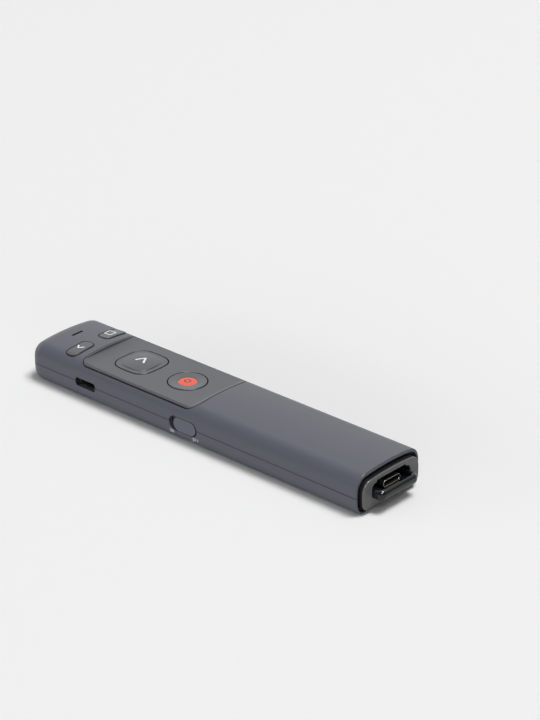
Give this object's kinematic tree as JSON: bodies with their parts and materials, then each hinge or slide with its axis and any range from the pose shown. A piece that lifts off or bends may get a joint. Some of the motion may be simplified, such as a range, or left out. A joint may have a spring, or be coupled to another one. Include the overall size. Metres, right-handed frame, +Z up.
{
  "type": "wireless presentation clicker",
  "caption": "Handheld wireless presentation remote with sprung buttons, a laser pointer, a side slide switch, a charging port and a pull-out receiver stored in its tail.",
  "frame": {"origin": "middle of the casing's flat underside", "axes": "+Y towards the nose and the laser window, -Y towards the tail and the receiver, +Z up out of the buttons, -X the side with the charging port and the slide switch"},
  "size_m": [0.03, 0.1512, 0.0145],
  "materials": {
    "casing_plastic": "satin, finely speckled blue-grey",
    "panel_plastic": "satin, a little lighter and warmer grey",
    "red_plastic": "satin orange-red",
    "cap_plastic": "satin grey",
    "dark_plastic": "matte black",
    "gloss_black_plastic": "polished black",
    "clear_plastic": "smoked clear",
    "board_laminate": "green solder mask",
    "plated_steel": "nickel plated",
    "gold_contact": "gold plated",
    "laser_brass": "turned",
    "lens_glass": "polished",
    "light_plastic": "milky",
    "battery_foil": "laminated foil",
    "tape": "foam tape"
  },
  "bodies": {
    "casing": {"upper_shell": "casing_plastic", "lower_shell": "casing_plastic", "top_panel": "panel_plastic", "end_cap": "cap_plastic", "receiver_dock": "dark_plastic", "tact_switches": "dark_plastic", "slide_switch_housing": "dark_plastic", "control_chips": "dark_plastic", "usb_c_socket_tongue": "gloss_black_plastic", "light_pipe": "clear_plastic", "nose_window": "clear_plastic", "circuit_board": "board_laminate", "usb_c_socket": "plated_steel", "board_screws": "plated_steel", "laser_module": "laser_brass", "laser_diode": "laser_brass", "laser_lens": "lens_glass", "status_led": "light_plastic", "battery_cell": "battery_foil", "battery_tape": "tape"},
    "next": {"next_button": "panel_plastic", "next_plunger": "dark_plastic"},
    "laser": {"laser_button": "panel_plastic", "laser_button_dot": "red_plastic", "laser_plunger": "dark_plastic"},
    "previous": {"previous_button": "panel_plastic", "previous_plunger": "dark_plastic"},
    "screen": {"screen_button": "panel_plastic", "screen_plunger": "dark_plastic"},
    "slider": {"power_slider": "casing_plastic", "slide_switch_lever": "dark_plastic"},
    "receiver": {"receiver_case": "gloss_black_plastic", "receiver_usb_c_shell": "plated_steel", "receiver_usb_c_insert": "gloss_black_plastic", "receiver_usb_a_shell": "plated_steel", "receiver_usb_a_tongue": "gloss_black_plastic", "receiver_usb_a_contacts": "gold_contact", "receiver_board": "board_laminate", "receiver_chip": "dark_plastic"}
  },
  "joints": [
    {"name": "next_press", "type": "slide", "parent": "casing", "child": "next", "axis": [0, 0, -1], "range_m": [0, 0.00035], "stiffness_N_per_m": 3000},
    {"name": "laser_press", "type": "slide", "parent": "casing", "child": "laser", "axis": [0, 0, -1], "range_m": [0, 0.00035], "stiffness_N_per_m": 3000},
    {"name": "previous_press", "type": "slide", "parent": "casing", "child": "previous", "axis": [0, 0, -1], "range_m": [0, 0.00035], "stiffness_N_per_m": 3000},
    {"name": "screen_press", "type": "slide", "parent": "casing", "child": "screen", "axis": [0, 0, -1], "range_m": [0, 0.00035], "stiffness_N_per_m": 3000},
    {"name": "power_slide", "type": "slide", "parent": "casing", "child": "slider", "axis": [0, 1, 0], "range_m": [0, 0.0018]},
    {"name": "receiver_pull", "type": "slide", "parent": "casing", "child": "receiver", "axis": [0, -1, 0], "range_m": [0, 0.036]}
  ]
}
